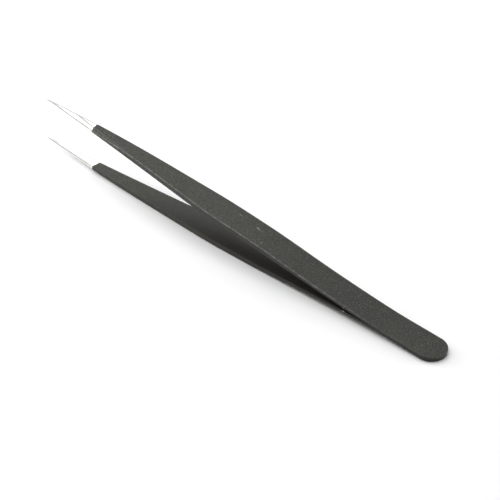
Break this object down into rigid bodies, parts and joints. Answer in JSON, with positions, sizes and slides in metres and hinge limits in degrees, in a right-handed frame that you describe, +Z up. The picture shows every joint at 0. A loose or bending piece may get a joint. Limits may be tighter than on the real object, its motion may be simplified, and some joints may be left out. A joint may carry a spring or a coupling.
{
  "type": "precision tweezers",
  "caption": "Long slender needle-point tweezers with matte dark coated arms, a round welded heel and bare ground steel points.",
  "frame": {"origin": "on the floor, under the middle of the tweezers as they lie at rest on the lower blade", "axes": "+X towards the heel and -X towards the points, Y across the width, +Z up; the opening between the arms lies in the XZ plane"},
  "size_m": [0.1402, 0.0086, 0.0151],
  "materials": {
    "steel": "ground stainless steel, bright, with fine grinding lines towards the points",
    "coating": "thin epoxy film, near-black, matte with a very fine grain"
  },
  "bodies": {
    "heel": {"heel_coating": "coating", "upper_blade_heel": "steel", "lower_blade_heel": "steel", "spot_welds": "steel"},
    "upper_arm": {"upper_blade": "steel", "upper_coating": "coating"},
    "lower_arm": {"lower_blade": "steel", "lower_coating": "coating"}
  },
  "joints": [
    {"name": "upper_flex", "type": "hinge", "parent": "heel", "child": "upper_arm", "pos_m": [0.04412, 0, 0.00236], "axis": [0, -1, 0], "range_deg": [0, 3.14], "stiffness_Nm_per_rad": 2},
    {"name": "lower_flex", "type": "hinge", "parent": "heel", "child": "lower_arm", "pos_m": [0.04409, 0, 0.00181], "axis": [0, 1, 0], "range_deg": [0, 3.14], "stiffness_Nm_per_rad": 2}
  ]
}
